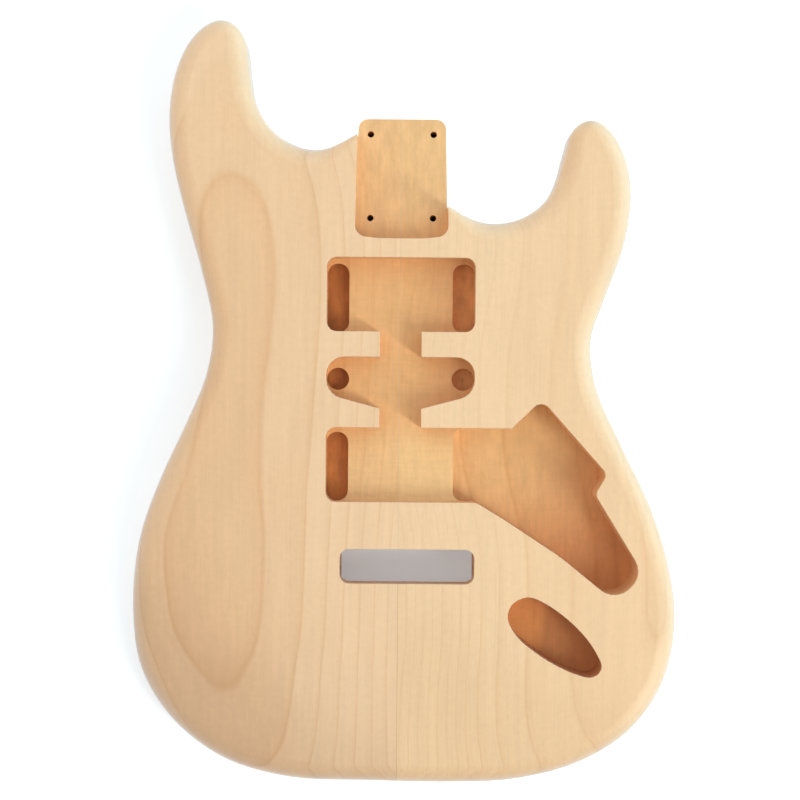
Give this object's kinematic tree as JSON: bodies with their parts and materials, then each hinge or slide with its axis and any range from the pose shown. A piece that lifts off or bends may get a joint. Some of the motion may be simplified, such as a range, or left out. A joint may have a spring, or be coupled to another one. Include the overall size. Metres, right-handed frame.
{
  "type": "electric guitar body",
  "caption": "Bare double-cutaway electric guitar body of two glued boards, routed for neck, pickups, controls, jack and a sprung bridge, with forearm and belly contours.",
  "frame": {"origin": "centre of the four neck-screw holes, on the back face", "axes": "+Y towards the neck, +Z out of the front face, +X towards the treble side"},
  "size_m": [0.3297, 0.4592, 0.045],
  "materials": {
    "bare_wood_bass": "sanded bare wood, pale honey with a pink cast, flat-sawn growth rings",
    "bare_wood_treble": "sanded bare wood, pale honey, straight growth rings near the seam",
    "hard_glue": "thin film of hardened amber wood glue"
  },
  "bodies": {
    "root": {"bass_side_board": "bare_wood_bass", "treble_side_board": "bare_wood_treble", "glue_line_neck_side": "hard_glue", "glue_line_tail_side": "hard_glue"}
  },
  "joints": []
}
